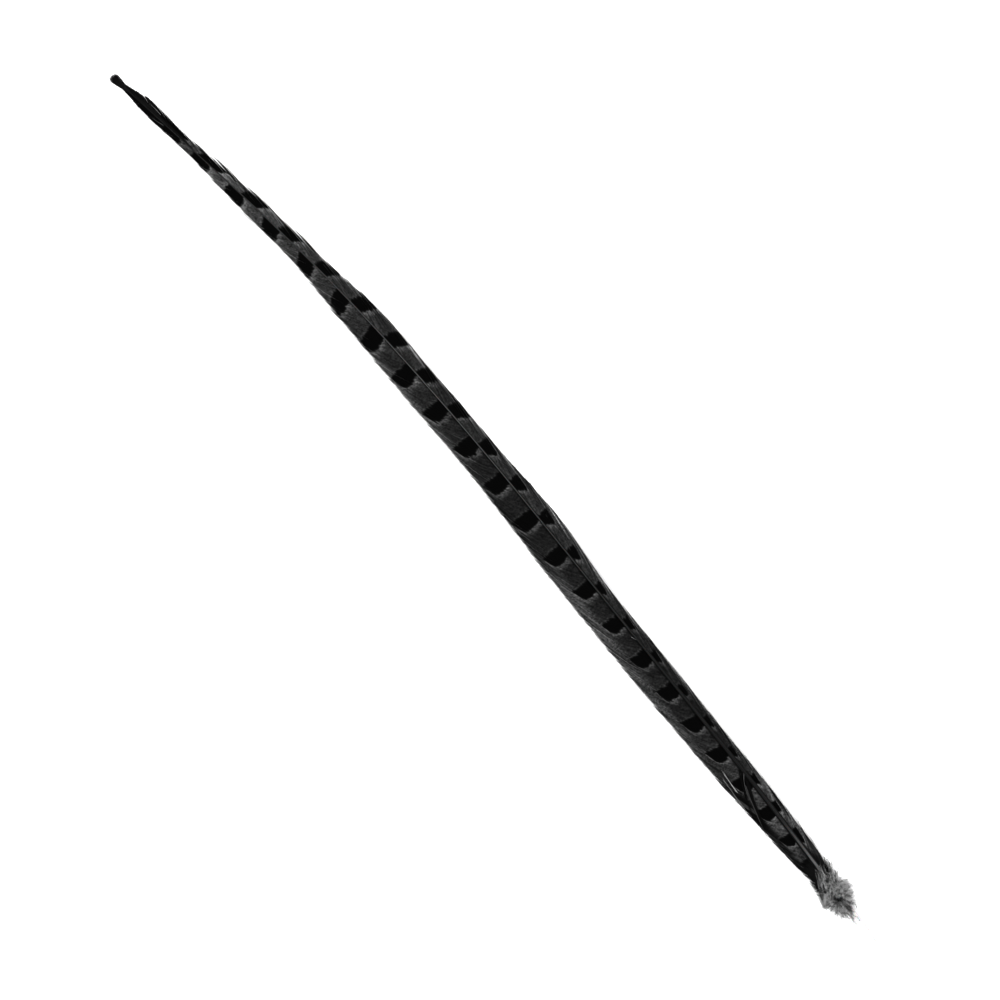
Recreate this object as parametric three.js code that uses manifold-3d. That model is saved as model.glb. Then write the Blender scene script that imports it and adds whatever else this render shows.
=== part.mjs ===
// One tail feather of a cock pheasant, lying back side up on a flat surface.
//
// The feather grew as one piece: a bare quill that thins into the shaft, a soft downy tuft round the foot of
// the shaft, and two vanes of long barbs that sweep towards the tip. The barbs cling together in locks, whose
// points give each vane a toothed edge. The shaft bows to the right, so the feather leans to that side: it
// rests on the underside of the quill, on the low edge of its right vane and on its tip.
//
// Frame: millimetres, +Z up. +Y runs from the quill's end to the tip, and the left vane lies towards -X. The
// origin is the middle of the feather's bounding box, on the surface that it lies on. A station is a distance
// along +Y from the quill's end, and the tip is at station 550.

import * as THREE from "three";
import Module from "manifold-3d";

const wasm = await Module();
wasm.setup();

// ---- driving dimensions, in millimetres ----

const SHAFT_END = 541; // the shaft stops here, and the last barbs reach on to the tip
const VANE_START = 40; // the root of the first firm barb
const LOCKS = 25; // locks of barbs on each vane
const LOCK_THICKNESS = 0.75; // along the middle of a lock
const SEAM_THICKNESS = 0.35; // between two locks
const TIP_THICKNESS = 0.55; // in the fan of barbs at the tip
const FIRST_BEND = 0.6; // share of a barb's forward sweep that it has straight from the shaft

// Seen from above: how far the shaft bows to the right of the line from the quill's end to the tip.
const bow = profile(
  [0, -0.5], [50, 3.9], [100, 7.1], [200, 11.3], [300, 15], [350, 15.4], [400, 14.2], [450, 10.8], [500, 5.7],
  [550, 0.3],
);

// The shaft's radius, thickest in the quill, and the gap below the shaft.
const shaftRadius = profile(
  [0, 1.3], [3, 1.65], [13, 2.05], [25, 1.95], [52, 1.4], [100, 1.1], [200, 0.65], [300, 0.48], [400, 0.36],
  [550, 0.26],
);
const gap = profile(
  [0, -0.12], [20, -0.12], [60, 1], [110, 2.9], [200, 5], [300, 6], [400, 5.2], [480, 3], [530, 1],
  [550, 0.2],
);

// For each vane: its width seen from above, the height of its edge, how far forward a barb rooted at a station
// reaches, the depth of the edge's teeth as a share of the width, and the angle that the vane turns down
// through from the shaft to its edge.
const LEFT = {
  side: -1,
  width: profile(
    [50, 7.5], [75, 9.5], [100, 11.2], [145, 12.8], [240, 12.6], [290, 10.9], [340, 10.6], [385, 8.6], [430, 5],
    [455, 4.6], [502, 2.4], [526, 2.6], [541, 1.3], [544.5, 1.2], [547.5, 2.2], [550, 1.6],
  ),
  edge: profile([50, 1.6], [100, 2.4], [200, 3.4], [300, 3.9], [400, 3.6], [480, 2.1], [541, 0.6], [550, 0.4]),
  sweep: profile([40, 13], [60, 18], [100, 26], [240, 32], [340, 28], [400, 20], [455, 14], [500, 10], [541, 7.2]),
  tooth: profile([50, 0.1], [90, 0.05], [440, 0.05], [520, 0.12], [541, 0.02]),
  turn: THREE.MathUtils.degToRad(32),
};
const RIGHT = {
  side: 1,
  width: profile(
    [50, 4.3], [110, 4.4], [160, 4.3], [215, 4.8], [255, 7.2], [300, 5.8], [345, 6], [384, 6.8], [420, 4.6],
    [455, 4.5], [502, 2.6], [526, 2.9], [541, 1.6], [544.5, 1.3], [547.5, 2.1], [550, 1.5],
  ),
  edge: profile([50, 1.4], [100, 1.8], [160, 1], [215, 0.27], [400, 0.27], [460, 0.6], [520, 0.45], [550, 0.4]),
  sweep: profile([40, 12], [60, 20], [100, 30], [240, 42], [340, 40], [400, 30], [455, 20], [500, 13], [541, 7.2]),
  tooth: profile([50, 0.12], [90, 0.07], [400, 0.08], [430, 0.2], [500, 0.22], [525, 0.1], [541, 0.02]),
  turn: THREE.MathUtils.degToRad(62),
};

// A lock's barbs from its quill end to its tip end: each barb's place in the lock, how many tooth depths it
// reaches past the vane's width, and its thickness.
const LOCK_BARBS = [
  { place: 0.05, teeth: -1, thickness: SEAM_THICKNESS },
  { place: 0.35, teeth: -0.35, thickness: LOCK_THICKNESS },
  { place: 0.7, teeth: 0, thickness: LOCK_THICKNESS },
  { place: 0.96, teeth: 0.4, thickness: SEAM_THICKNESS },
];
const TIP_FAN = [1, 0.72, 0.42, 0.12, -0.15]; // spread of the last barbs, from the edge to past the middle
const TIP_POINT = 1.6; // the middle of the fan starts this far ahead of its sides
const BARB_STEPS = 4; // points along a barb, past its root
const ROOT_SHARE = 0.03; // a barb starts this far inside the shaft, as a share of its reach
const BARB_POINT = 0.6; // share of a barb's thickness that its end keeps

// Locks that have come loose from a vane's edge: the stations of their roots and tips, and how far to the side
// of the shaft their tips stand.
const LOOSE_LOCKS = [
  { vane: RIGHT, root: 489, tip: 501.5, out: 3.1 },
  { vane: RIGHT, root: 473, tip: 490, out: 4.4 },
  { vane: RIGHT, root: 449, tip: 467.5, out: 4.7 },
  { vane: RIGHT, root: 416, tip: 438, out: 5.4 },
  { vane: LEFT, root: 379, tip: 400, out: 9.2 },
  { vane: LEFT, root: 84, tip: 112, out: 12.4 },
];
const LOOSE_LOCK = { width: 0.9, thickness: 0.5, bluntness: 0.2 };
const LOOSE_START = 0.72; // share of the vane's width at which they start, inside it
const LOOSE_RISE = 0.35; // above the vane's edge

// The downy tuft: pairs of soft plumes that fan out from the foot of the shaft, the first ones back towards the
// quill's end and the last ones forward along the vanes.
const PLUME_PAIRS = 9;
const PLUME_ROOTS = [28, 48]; // stations
const PLUME_LEANS = [164, 22].map(THREE.MathUtils.degToRad); // from the shaft's direction
const plumeLength = profile([0, 10.5], [0.25, 8], [0.5, 8.6], [1, 11.5]); // by the plume's place in the tuft
const PLUME_SHORT = 0.86; // every other plume has this share of its length
const PLUME = { width: 4.4, thickness: 1.8, bluntness: 0.15 };
const PLUME_CURL = 0.3; // radians
const PLUME_RISE = 1.1; // neighbouring plumes end this far over and under each other
const PLUME_DROOP = 0.35; // share of its height that a plume's tip loses
const PLUME_FLOOR = 0.95; // lowest height of a plume's middle

const RING_SIDES = 8; // of the shaft, one of them level and below
const APOTHEM = Math.cos(Math.PI / RING_SIDES);
const UP = new THREE.Vector3(0, 0, 1);

// ---- curves and frames ----

// A smooth curve through [station, value] pairs.
function profile(...pairs) {
  const stations = pairs.map((pair) => pair[0]);
  const spline = new THREE.CubicInterpolant(stations, pairs.map((pair) => pair[1]), 1);
  return (station) => spline.evaluate(THREE.MathUtils.clamp(station, stations[0], stations.at(-1)))[0];
}

function shaftHeight(station) {
  return shaftRadius(station) * APOTHEM + gap(station);
}

// The point at a station, a distance to the right of the shaft's axis, at a height above the surface.
function placed(station, right, height) {
  const slope = (bow(station + 1) - bow(station - 1)) / 2;
  const across = new THREE.Vector2(1, -slope).normalize();
  return new THREE.Vector3(bow(station) + right * across.x, station + right * across.y, height);
}

// The middle of a vane's thickness, at a share of the way out along the barb rooted at a station. In the fan of
// barbs at the feather's tip, spread narrows the barb's reach from 1 at the edge to 0 in line with the shaft.
function vanePoint(vane, root, share, spread = 1) {
  const sweep = vane.sweep(root);
  const station = root + sweep * (FIRST_BEND * share + (1 - FIRST_BEND) * share ** 2);
  const out = Math.sin(share * vane.turn) / Math.sin(vane.turn);
  const right = vane.side * spread * vane.width(root + sweep) * out;
  const fall = Math.min((1 - Math.cos(share * vane.turn)) / (1 - Math.cos(vane.turn)), 1) * Math.abs(spread);
  return placed(station, right, THREE.MathUtils.lerp(shaftHeight(station), vane.edge(root + sweep), fall));
}

// ---- solids ----

// A closed solid through rings of equal, even length. Each ring's first half faces its second half, point for
// point from the ends inwards, so the two end rings close as ladders.
function loft(rings) {
  const size = rings[0].length;
  const triangles = [];
  const quad = (a, b, c, d) => triangles.push(a, b, c, a, c, d);
  for (let ring = 0; ring + 1 < rings.length; ring++)
    for (let k = 0; k < size; k++) {
      const next = (k + 1) % size;
      quad(ring * size + k, ring * size + next, (ring + 1) * size + next, (ring + 1) * size + k);
    }
  const last = (rings.length - 1) * size;
  for (let k = 0; k + 1 < size / 2; k++) {
    const facing = size - 1 - k;
    quad(k, facing, facing - 1, k + 1);
    quad(last + k, last + k + 1, last + facing - 1, last + facing);
  }
  const vertProperties = new Float32Array(rings.flat().flatMap((point) => point.toArray()));
  return new wasm.Manifold(new wasm.Mesh({ numProp: 3, vertProperties, triVerts: new Uint32Array(triangles) }));
}

// The quill and the shaft.
function shaft() {
  const stations = [0, 1, 3, 8, 13, 20, 30, 41, 52, 70, 90];
  for (let station = 112; station < SHAFT_END; station += 22) stations.push(station);
  stations.push(SHAFT_END, SHAFT_END + 3);
  return loft(
    stations.map((station) => {
      const radius = shaftRadius(station) * (station > SHAFT_END ? 0.5 : 1);
      const ring = [];
      for (let k = 0; k < RING_SIDES; k++) {
        const angle = ((k + 0.5) / RING_SIDES) * 2 * Math.PI;
        ring.push(placed(station, radius * Math.sin(angle), shaftHeight(station) - radius * Math.cos(angle)));
      }
      return ring.reverse();
    }),
  );
}

// A vane: a curved plate whose rows are barbs, thin between two locks, with a fan of barbs at the tip.
function vane(shape) {
  const barbs = [];
  const lockLength = (SHAFT_END - VANE_START) / LOCKS;
  for (let lock = 0; lock < LOCKS; lock++)
    for (const { place, teeth, thickness } of LOCK_BARBS) {
      const root = VANE_START + (lock + place) * lockLength;
      barbs.push({ root, reach: 1 + teeth * shape.tooth(root + shape.sweep(root)), thickness, spread: 1 });
    }
  for (const spread of TIP_FAN) {
    const root = SHAFT_END + (1 - Math.abs(spread)) * TIP_POINT;
    barbs.push({ root, reach: 1, thickness: TIP_THICKNESS, spread });
  }

  const rows = barbs.map(({ root, reach, spread }) => {
    const row = [];
    for (let step = 0; step <= BARB_STEPS; step++)
      row.push(vanePoint(shape, root, ROOT_SHARE + (reach - ROOT_SHARE) * (step / BARB_STEPS), spread));
    return row;
  });
  const rings = rows.map((row, i) => {
    const before = rows[Math.max(i - 1, 0)];
    const after = rows[Math.min(i + 1, rows.length - 1)];
    const half = row.map((_, j) => {
      const outward = row[Math.min(j + 1, BARB_STEPS)].clone().sub(row[Math.max(j - 1, 0)]);
      const forward = after[j].clone().sub(before[j]);
      const thickness = barbs[i].thickness * (j === BARB_STEPS ? BARB_POINT : 1);
      return outward.cross(forward).setLength((shape.side * thickness) / 2);
    });
    const top = row.map((point, j) => point.clone().add(half[j]));
    const bottom = row.map((point, j) => point.clone().sub(half[j]));
    const ring = [...top, ...bottom.reverse()];
    return shape.side > 0 ? ring : ring.reverse();
  });
  return loft(rings);
}

// A pointed blade along a curve, six-sided and flat across its width: a loose lock or a plume of down. It is
// widest near its root, and its ends keep a share of that width, which is its bluntness.
function blade(curve, { width, thickness, bluntness }) {
  const steps = 4;
  const rings = [];
  for (let step = 0; step <= steps; step++) {
    const along = step / steps;
    const point = curve.getPoint(along);
    const forward = curve.getTangent(along);
    const across = forward.clone().cross(UP).normalize();
    const up = across.clone().cross(forward);
    const size = THREE.MathUtils.lerp(bluntness, 1, Math.sin(Math.PI * (0.2 + 0.8 * along)));
    const ring = [];
    for (const [a, b] of [[-0.5, 0], [-0.25, 0.5], [0.25, 0.5], [0.5, 0], [0.25, -0.5], [-0.25, -0.5]])
      ring.push(point.clone().addScaledVector(across, a * width * size).addScaledVector(up, b * thickness * size));
    rings.push(ring);
  }
  return loft(rings);
}

function looseLock({ vane: shape, root, tip, out }) {
  const height = shape.edge(tip) + LOOSE_RISE;
  const start = placed(root, shape.side * shape.width(root) * LOOSE_START, shape.edge(root) + 2 * LOOSE_RISE);
  const bend = placed((root + tip) / 2, shape.side * out, height);
  const end = placed(tip, shape.side * out, height);
  return blade(new THREE.QuadraticBezierCurve3(start, bend, end), LOOSE_LOCK);
}

function plume(side, pair) {
  const place = pair / (PLUME_PAIRS - 1);
  const root = THREE.MathUtils.lerp(...PLUME_ROOTS, place);
  const length = plumeLength(place) * (pair % 2 ? PLUME_SHORT : 1);
  const lean = THREE.MathUtils.lerp(...PLUME_LEANS, place);
  const over = pair % 2 ? PLUME_RISE : -PLUME_RISE;
  const at = (along, turn) => {
    const height = shaftHeight(root) * (1 - PLUME_DROOP * along) + over * along;
    const reach = length * along;
    const right = side * reach * Math.sin(lean + turn);
    return placed(root + reach * Math.cos(lean + turn), right, Math.max(height, PLUME_FLOOR));
  };
  return blade(new THREE.QuadraticBezierCurve3(at(0, 0), at(0.6, PLUME_CURL), at(1, -PLUME_CURL / 2)), PLUME);
}

// ---- the feather ----

const grown = [shaft(), vane(LEFT), vane(RIGHT), ...LOOSE_LOCKS.map(looseLock)];
for (let pair = 0; pair < PLUME_PAIRS; pair++) grown.push(plume(-1, pair), plume(1, pair));

// What touches the surface lies flat on it.
const whole = grown.reduce((sum, piece) => sum.add(piece)).trimByPlane([0, 0, 1], 0);
const { vertProperties, triVerts } = whole.getMesh();

const geometry = new THREE.BufferGeometry();
geometry.setAttribute("position", new THREE.BufferAttribute(vertProperties, 3));
geometry.setIndex(new THREE.BufferAttribute(triVerts, 1));
geometry.computeBoundingBox();
const middle = geometry.boundingBox.getCenter(new THREE.Vector3());
geometry.translate(-middle.x, -middle.y, 0);
geometry.computeVertexNormals();

const keratin = new THREE.MeshStandardMaterial({ color: 0x2b2b2b, roughness: 0.75, metalness: 0 });
const feather = new THREE.Mesh(geometry, keratin);
feather.name = "tail_feather";

const part = new THREE.Group();
part.add(feather);
export default part;
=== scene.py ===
"""A cock pheasant's long tail feather, laid back side up on a pale table.

The feather is one piece in life and in the frame. Here it is made of what a hand lens shows: a horn shaft,
two vanes of barbs that cling together in locks, loose locks and stray barbs at their edges, a clumped brush
at the tip, and a tuft of down at the foot. Lengths are in millimetres until a mesh is made. A station is a
distance along the feather from the quill's end, and the tip is at station 550.
"""

import math

import bpy
import numpy as np
from mathutils import Matrix, Vector


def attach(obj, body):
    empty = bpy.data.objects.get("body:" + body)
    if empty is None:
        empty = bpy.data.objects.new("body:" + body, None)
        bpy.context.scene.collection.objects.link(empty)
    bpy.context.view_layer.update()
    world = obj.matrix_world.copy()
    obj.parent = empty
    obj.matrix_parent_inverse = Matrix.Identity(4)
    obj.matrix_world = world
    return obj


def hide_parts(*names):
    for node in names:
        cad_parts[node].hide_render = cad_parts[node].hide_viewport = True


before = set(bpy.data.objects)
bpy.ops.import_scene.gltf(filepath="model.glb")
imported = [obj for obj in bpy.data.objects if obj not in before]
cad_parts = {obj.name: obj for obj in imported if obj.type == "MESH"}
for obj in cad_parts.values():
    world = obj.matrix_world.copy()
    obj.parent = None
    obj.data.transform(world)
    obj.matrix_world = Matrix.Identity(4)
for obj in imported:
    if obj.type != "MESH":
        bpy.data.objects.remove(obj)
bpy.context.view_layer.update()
chance = np.random.default_rng(7)

NODE = "tail_feather"
MIDDLE = np.array([8.160, 274.788, 0.0])  # the frame's origin, on the feather's own plan
LENGTH = 550.0
SHAFT_END = 541.0
VANE_START = 40.0
BARE_QUILL = 34.0  # the shaft's sides are bare below this station
ALL_BARBED = 48.0  # and full of barbs above this one
GROOVE_START = 45.0
PLAIN_TIP = 522.0  # no bars beyond this station
LEFT_SIDE = -1
RIGHT_SIDE = 1
TABLE = -0.05  # the table's height, just clear of the feather's lowest point
TINY = 1e-9


# ---- the feather's plan, as the solid has it ----


def profile(*pairs):
    """A smooth curve through (station, value) pairs, level beyond its ends."""
    at, value = np.array(pairs, float).T
    slope = np.diff(value) / np.diff(at)
    lean = np.concatenate([slope[:1], (slope[1:] + slope[:-1]) / 2, slope[-1:]])

    def curve(station):
        station = np.clip(station, at[0], at[-1])
        i = np.clip(np.searchsorted(at, station, side="right") - 1, 0, len(at) - 2)
        gap = at[i + 1] - at[i]
        x = (station - at[i]) / gap
        rise = x * x * (3 - 2 * x)
        bend = gap * x * (1 - x) * (lean[i] * (1 - x) - lean[i + 1] * x)
        return value[i] * (1 - rise) + value[i + 1] * rise + bend

    return curve


# the shaft's bow to the right, its radius, and the gap between it and the table
bow = profile(
    (0, -0.5), (50, 3.9), (100, 7.1), (200, 11.3), (300, 15), (350, 15.4), (400, 14.2), (450, 10.8),
    (500, 5.7), (550, 0.3),
)
shaft_radius = profile(
    (0, 1.3), (3, 1.65), (13, 2.05), (25, 1.95), (52, 1.4), (100, 1.1), (200, 0.65), (300, 0.48), (400, 0.36),
    (550, 0.26),
)
gap_below = profile(
    (0, -0.12), (20, -0.12), (60, 1), (110, 2.9), (200, 5), (300, 6), (400, 5.2), (480, 3), (530, 1),
    (550, 0.2),
)


CURL_POWER = 2.5  # how late a curled barb bends forward


class Vane:
    """One side of the feather: the angle in degrees that its barbs turn down through, how uneven its fringe's
    tones are, how much its barbs curl forward, and its curves. These are its width from above, how far its
    frayed ends spread past that, its edge's height, how far forward its barbs sweep, and its markings."""

    def __init__(self, side, turn, fray, curl, **curves):
        self.side = side
        self.fray = fray
        self.curl = curl
        self.turn = math.radians(turn)
        for name, pairs in curves.items():
            setattr(self, name, profile(*pairs))

    def place(self, root, share):
        """Station, distance to the right of the shaft and height of points a share of the way out on barbs.
        A barb leaves the shaft nearly flat and turns down towards its tip, and its curl bends it late."""
        sweep = self.sweep(root)
        station = root + sweep * ((1 - self.curl) * share + self.curl * share**CURL_POWER)
        out = np.sin(np.minimum(share, 1) * self.turn) / math.sin(self.turn) + np.maximum(share - 1, 0)
        right = self.side * self.full_width(root + sweep) * out
        fall = np.minimum((1 - np.cos(share * self.turn)) / (1 - math.cos(self.turn)), 1)
        height = shaft_height(station) * (1 - fall) + self.edge(root + sweep) * fall
        return station, right, height

    def points(self, root, share):
        return placed(*self.place(root, share))

    def full_width(self, station):
        return self.width(station) + self.spare(station)


def shaft_height(station):
    """The height of the shaft's axis, which the solid's eight sides put a little under its radius."""
    return shaft_radius(station) * math.cos(math.pi / 8) + gap_below(station)


def placed(station, right, height):
    """Points on the plan at stations, at distances to the right of the shaft's axis, at heights."""
    slope = (bow(station + 1) - bow(station - 1)) / 2
    long = np.hypot(1, slope)
    across = bow(station) + right / long
    return np.stack(np.broadcast_arrays(across, station - right * slope / long, height), -1)


BROAD = Vane(
    side=LEFT_SIDE,
    turn=32,
    fray=0.25,
    curl=0.62,
    width=[
        (50, 7.5), (75, 9.5), (100, 11.2), (145, 12.8), (240, 12.6), (290, 10.9), (340, 10.6), (385, 8.6),
        (430, 5), (455, 4.6), (502, 2.4), (526, 2.6), (541, 1.3), (544.5, 1.2), (547.5, 2.2), (550, 1.6),
    ],
    edge=[(50, 1.6), (100, 2.4), (200, 3.4), (300, 3.9), (400, 3.6), (480, 2.1), (541, 0.6), (550, 0.4)],
    sweep=[(40, 13), (60, 18), (100, 26), (240, 32), (340, 28), (400, 20), (455, 14), (500, 10), (541, 7.2)],
    tooth=[(50, 0.1), (90, 0.05), (440, 0.05), (520, 0.12), (541, 0.02)],
    # bars counted from the tip, and each bar's share of the distance to the next
    count=[
        (30, 22), (52, 20.85), (67.6, 19.8), (99, 18), (155, 15), (217.3, 12), (238.6, 11), (260.5, 10),
        (305.4, 8), (350.2, 6), (398.4, 4), (422.2, 3), (446, 2), (469, 1), (491.2, 0), (510.4, -1),
        (522, -1.6), (550, -2.6),
    ],
    bar=[
        (50, 0.38), (100, 0.4), (150, 0.38), (200, 0.36), (306, 0.38), (350, 0.4), (400, 0.41), (430, 0.45),
        (491, 0.54), (510, 0.64),
    ],
    # how far out a bar reaches, as a share of the vane's width, and how much its tip-side edge slants
    reach=[
        (40, 0.72), (95, 0.68), (228, 0.69), (247, 0.82), (262, 0.88), (325, 0.86), (350, 0.95), (385, 1.15),
        (430, 1.6),
    ],
    slant=[
        (50, -0.06), (100, -0.18), (150, -0.2), (200, 0), (290, 0), (350, 0), (398, 0.16), (440, 0.12),
        (491, 0),
    ],
    # how blunt the far end of a bar is
    blunt=[(50, 1.5), (170, 1.3), (200, 1.7), (290, 1.4), (400, 1.5), (491, 1)],
    # how pale the ground between the bars is, and the vane's outer fringe, and where that fringe begins
    ground=[
        (45, 0.19), (95, 0.19), (130, 0.1), (206, 0.077), (290, 0.073), (310, 0.082), (339, 0.1), (386, 0.14),
        (434, 0.185), (470, 0.22), (497, 0.2), (504, 0.15), (508, 0.04), (550, 0.03),
    ],
    fringe=[
        (60, 0.03), (102, 0.04), (116, 0.16), (172, 0.22), (225, 0.22), (245, 0.09), (262, 0.06), (290, 0.1),
        (306, 0.23), (352, 0.245), (375, 0.15), (434, 0.2), (497, 0.22), (508, 0.04), (550, 0.03),
    ],
    fringe_from=[(50, 0.5), (105, 0.5), (125, 0.6), (175, 0.5), (230, 0.52), (260, 0.6), (550, 0.6)],
    spare=[(50, 0.6), (480, 0.7), (525, 0.2), (538, 0), (550, 0)],
)
NARROW = Vane(
    side=RIGHT_SIDE,
    turn=62,
    fray=1.0,
    curl=0.3,
    width=[
        (50, 4.3), (110, 4.4), (160, 4.3), (215, 4.8), (255, 7.2), (300, 5.8), (345, 6), (384, 6.8),
        (420, 4.6), (455, 4.5), (502, 2.6), (526, 2.9), (541, 1.6), (544.5, 1.3), (547.5, 2.1), (550, 1.5),
    ],
    edge=[(50, 1.4), (100, 1.8), (160, 1), (215, 0.27), (400, 0.27), (460, 0.6), (520, 0.45), (550, 0.4)],
    sweep=[(40, 12), (60, 20), (100, 30), (240, 42), (340, 40), (400, 30), (455, 20), (500, 13), (541, 7.2)],
    tooth=[(50, 0.12), (90, 0.07), (400, 0.08), (430, 0.2), (500, 0.22), (525, 0.1), (541, 0.02)],
    count=[
        (30, 22.3), (64.5, 21), (81.3, 20), (114.5, 18), (172, 15), (234.7, 12), (255.7, 11), (276.8, 10),
        (321.6, 8), (366.2, 6), (389.3, 5), (413.1, 4), (436.5, 3), (459.8, 2), (485.8, 1), (511.5, 0),
        (550, -0.8),
    ],
    bar=[
        (50, 0.4), (120, 0.34), (235, 0.34), (322, 0.43), (400, 0.46), (440, 0.54), (486, 0.62), (510, 0.76),
    ],
    reach=[(40, 0.62), (200, 0.66), (270, 0.74), (300, 0.85), (325, 1.3), (550, 1.5)],
    slant=[(50, 0), (300, 0), (340, 0.08), (420, 0.1), (550, 0.05)],
    blunt=[(50, 1.3), (550, 1.3)],
    ground=[
        (45, 0.2), (92, 0.26), (104, 0.13), (120, 0.09), (230, 0.13), (300, 0.14), (333, 0.11), (380, 0.13),
        (420, 0.19), (455, 0.28), (490, 0.24), (508, 0.06), (521, 0.04), (550, 0.03),
    ],
    fringe=[
        (60, 0.14), (110, 0.1), (200, 0.12), (236, 0.18), (250, 0.21), (266, 0.22), (310, 0.25), (330, 0.12),
        (380, 0.13), (420, 0.19), (455, 0.28), (490, 0.24), (508, 0.06), (521, 0.04), (550, 0.03),
    ],
    fringe_from=[(50, 0.62), (550, 0.62)],
    spare=[
        (50, 0.5), (100, 0.6), (120, 0.3), (160, 0.6), (190, 0.5), (215, 0.2), (245, 0.5), (285, 0.2),
        (320, 0.5), (345, 0.2), (370, 0.4), (400, 0.2), (495, 0.1), (512, 0.4), (524, 0.9), (531, 1.1),
        (536, 0.5), (541, 0), (550, 0),
    ],
)
# how long a bar is at each share of its reach: thumb-shaped on the broad vane, squarer on the narrow one
BROAD_BAR = profile(
    (0, 0.87), (0.22, 0.97), (0.45, 1), (0.66, 0.93), (0.8, 0.78), (0.9, 0.56), (0.97, 0.3), (1.03, 0.1),
    (1.08, 0),
)
NARROW_BAR = profile((0, 0.72), (0.4, 0.95), (0.8, 1), (0.95, 0.55), (1, 0))


# ---- meshes ----


def unit(vectors):
    return vectors / (np.linalg.norm(vectors, axis=-1, keepdims=True) + TINY)


def blades(centre, right_edge, left_edge, thick):
    """Closed four-sided blades. Each row of centre is one blade's spine, and thick is its half thickness."""
    up = unit(np.cross(right_edge - left_edge, np.gradient(centre, axis=1)))
    raised = up * thick[..., None]
    rings = np.stack([right_edge, centre + raised, left_edge, centre - raised], 2)
    count, steps = centre.shape[:2]
    corner = np.arange(count * steps * 4).reshape(count, steps, 4)
    onward = np.roll(corner, -1, axis=2)
    walls = np.stack([corner[:, :-1], corner[:, 1:], onward[:, 1:], onward[:, :-1]], -1).reshape(-1, 4)
    faces = np.concatenate([walls, corner[:, 0], corner[:, -1, ::-1]])
    return rings.reshape(-1, 3), faces.tolist()


def per_corner(values):
    """A value for each point of the blades' spines, repeated for the four corners there."""
    return np.repeat(values.reshape(-1), 4)


def in_metres(points):
    """Points on the plan as the frame has them."""
    return ((points - MIDDLE) / 1000).tolist()


def store(mesh, fact, values):
    """Keeps a number for each point of a mesh, for its finish to read."""
    kept = mesh.attributes.new(fact, "FLOAT", "POINT")
    kept.data.foreach_set("value", np.ascontiguousarray(values, np.float32))


def in_scene(name, data):
    """An object of that mesh, lamp or camera, in the scene."""
    made = bpy.data.objects.new(name, data)
    bpy.context.scene.collection.objects.link(made)
    return made


def mesh_piece(name, points, faces, finish, facts=None):
    """A smooth mesh object with its finish, and with facts stored on its points."""
    mesh = bpy.data.meshes.new(name)
    mesh.from_pydata(in_metres(points), [], faces)
    for fact, values in (facts or {}).items():
        store(mesh, fact, values)
    mesh.shade_smooth()
    mesh.materials.append(finish)
    return in_scene(name, mesh)


def belongs(made):
    """The piece is part of the feather: it rides on its one body and stands in for its solid."""
    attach(made, "root")
    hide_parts(NODE)


# ---- finishes ----


HORN_IOR = 1.55  # keratin's
SHARE, FIRST, SECOND, MIXED = 0, 6, 7, 2  # a Mix node's sockets for two colours, and its output for them


def linear(code):
    """An sRGB hex colour as linear light, with full alpha."""
    parts = [int(code[i : i + 2], 16) / 255 for i in (0, 2, 4)]
    return [p / 12.92 if p <= 0.04045 else ((p + 0.055) / 1.055) ** 2.4 for p in parts] + [1.0]


def node(tree, kind, sockets=None, **settings):
    """Adds a node with its settings and links. Each socket takes a plain value, another node's output, or a
    node, which stands for its first output."""
    made = tree.nodes.new(kind)
    for name, value in settings.items():
        setattr(made, name, value)
    for key, value in (sockets or {}).items():
        if isinstance(value, bpy.types.Node):
            value = value.outputs[0]
        if isinstance(value, bpy.types.NodeSocket):
            tree.links.new(value, made.inputs[key])
        else:
            made.inputs[key].default_value = value
    return made


def new_finish(name):
    """An empty material: its node tree and its Principled shader."""
    made = bpy.data.materials.new(name)
    made.use_nodes = True
    tree = made.node_tree
    return made, tree, tree.nodes["Principled BSDF"]


def keratin(shader, roughness, gloss):
    """Feather keratin bends light as horn does. Barbules trap part of the gloss, so its level varies."""
    shader.inputs["IOR"].default_value = HORN_IOR
    shader.inputs["Roughness"].default_value = roughness
    shader.inputs["Specular IOR Level"].default_value = gloss


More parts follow.
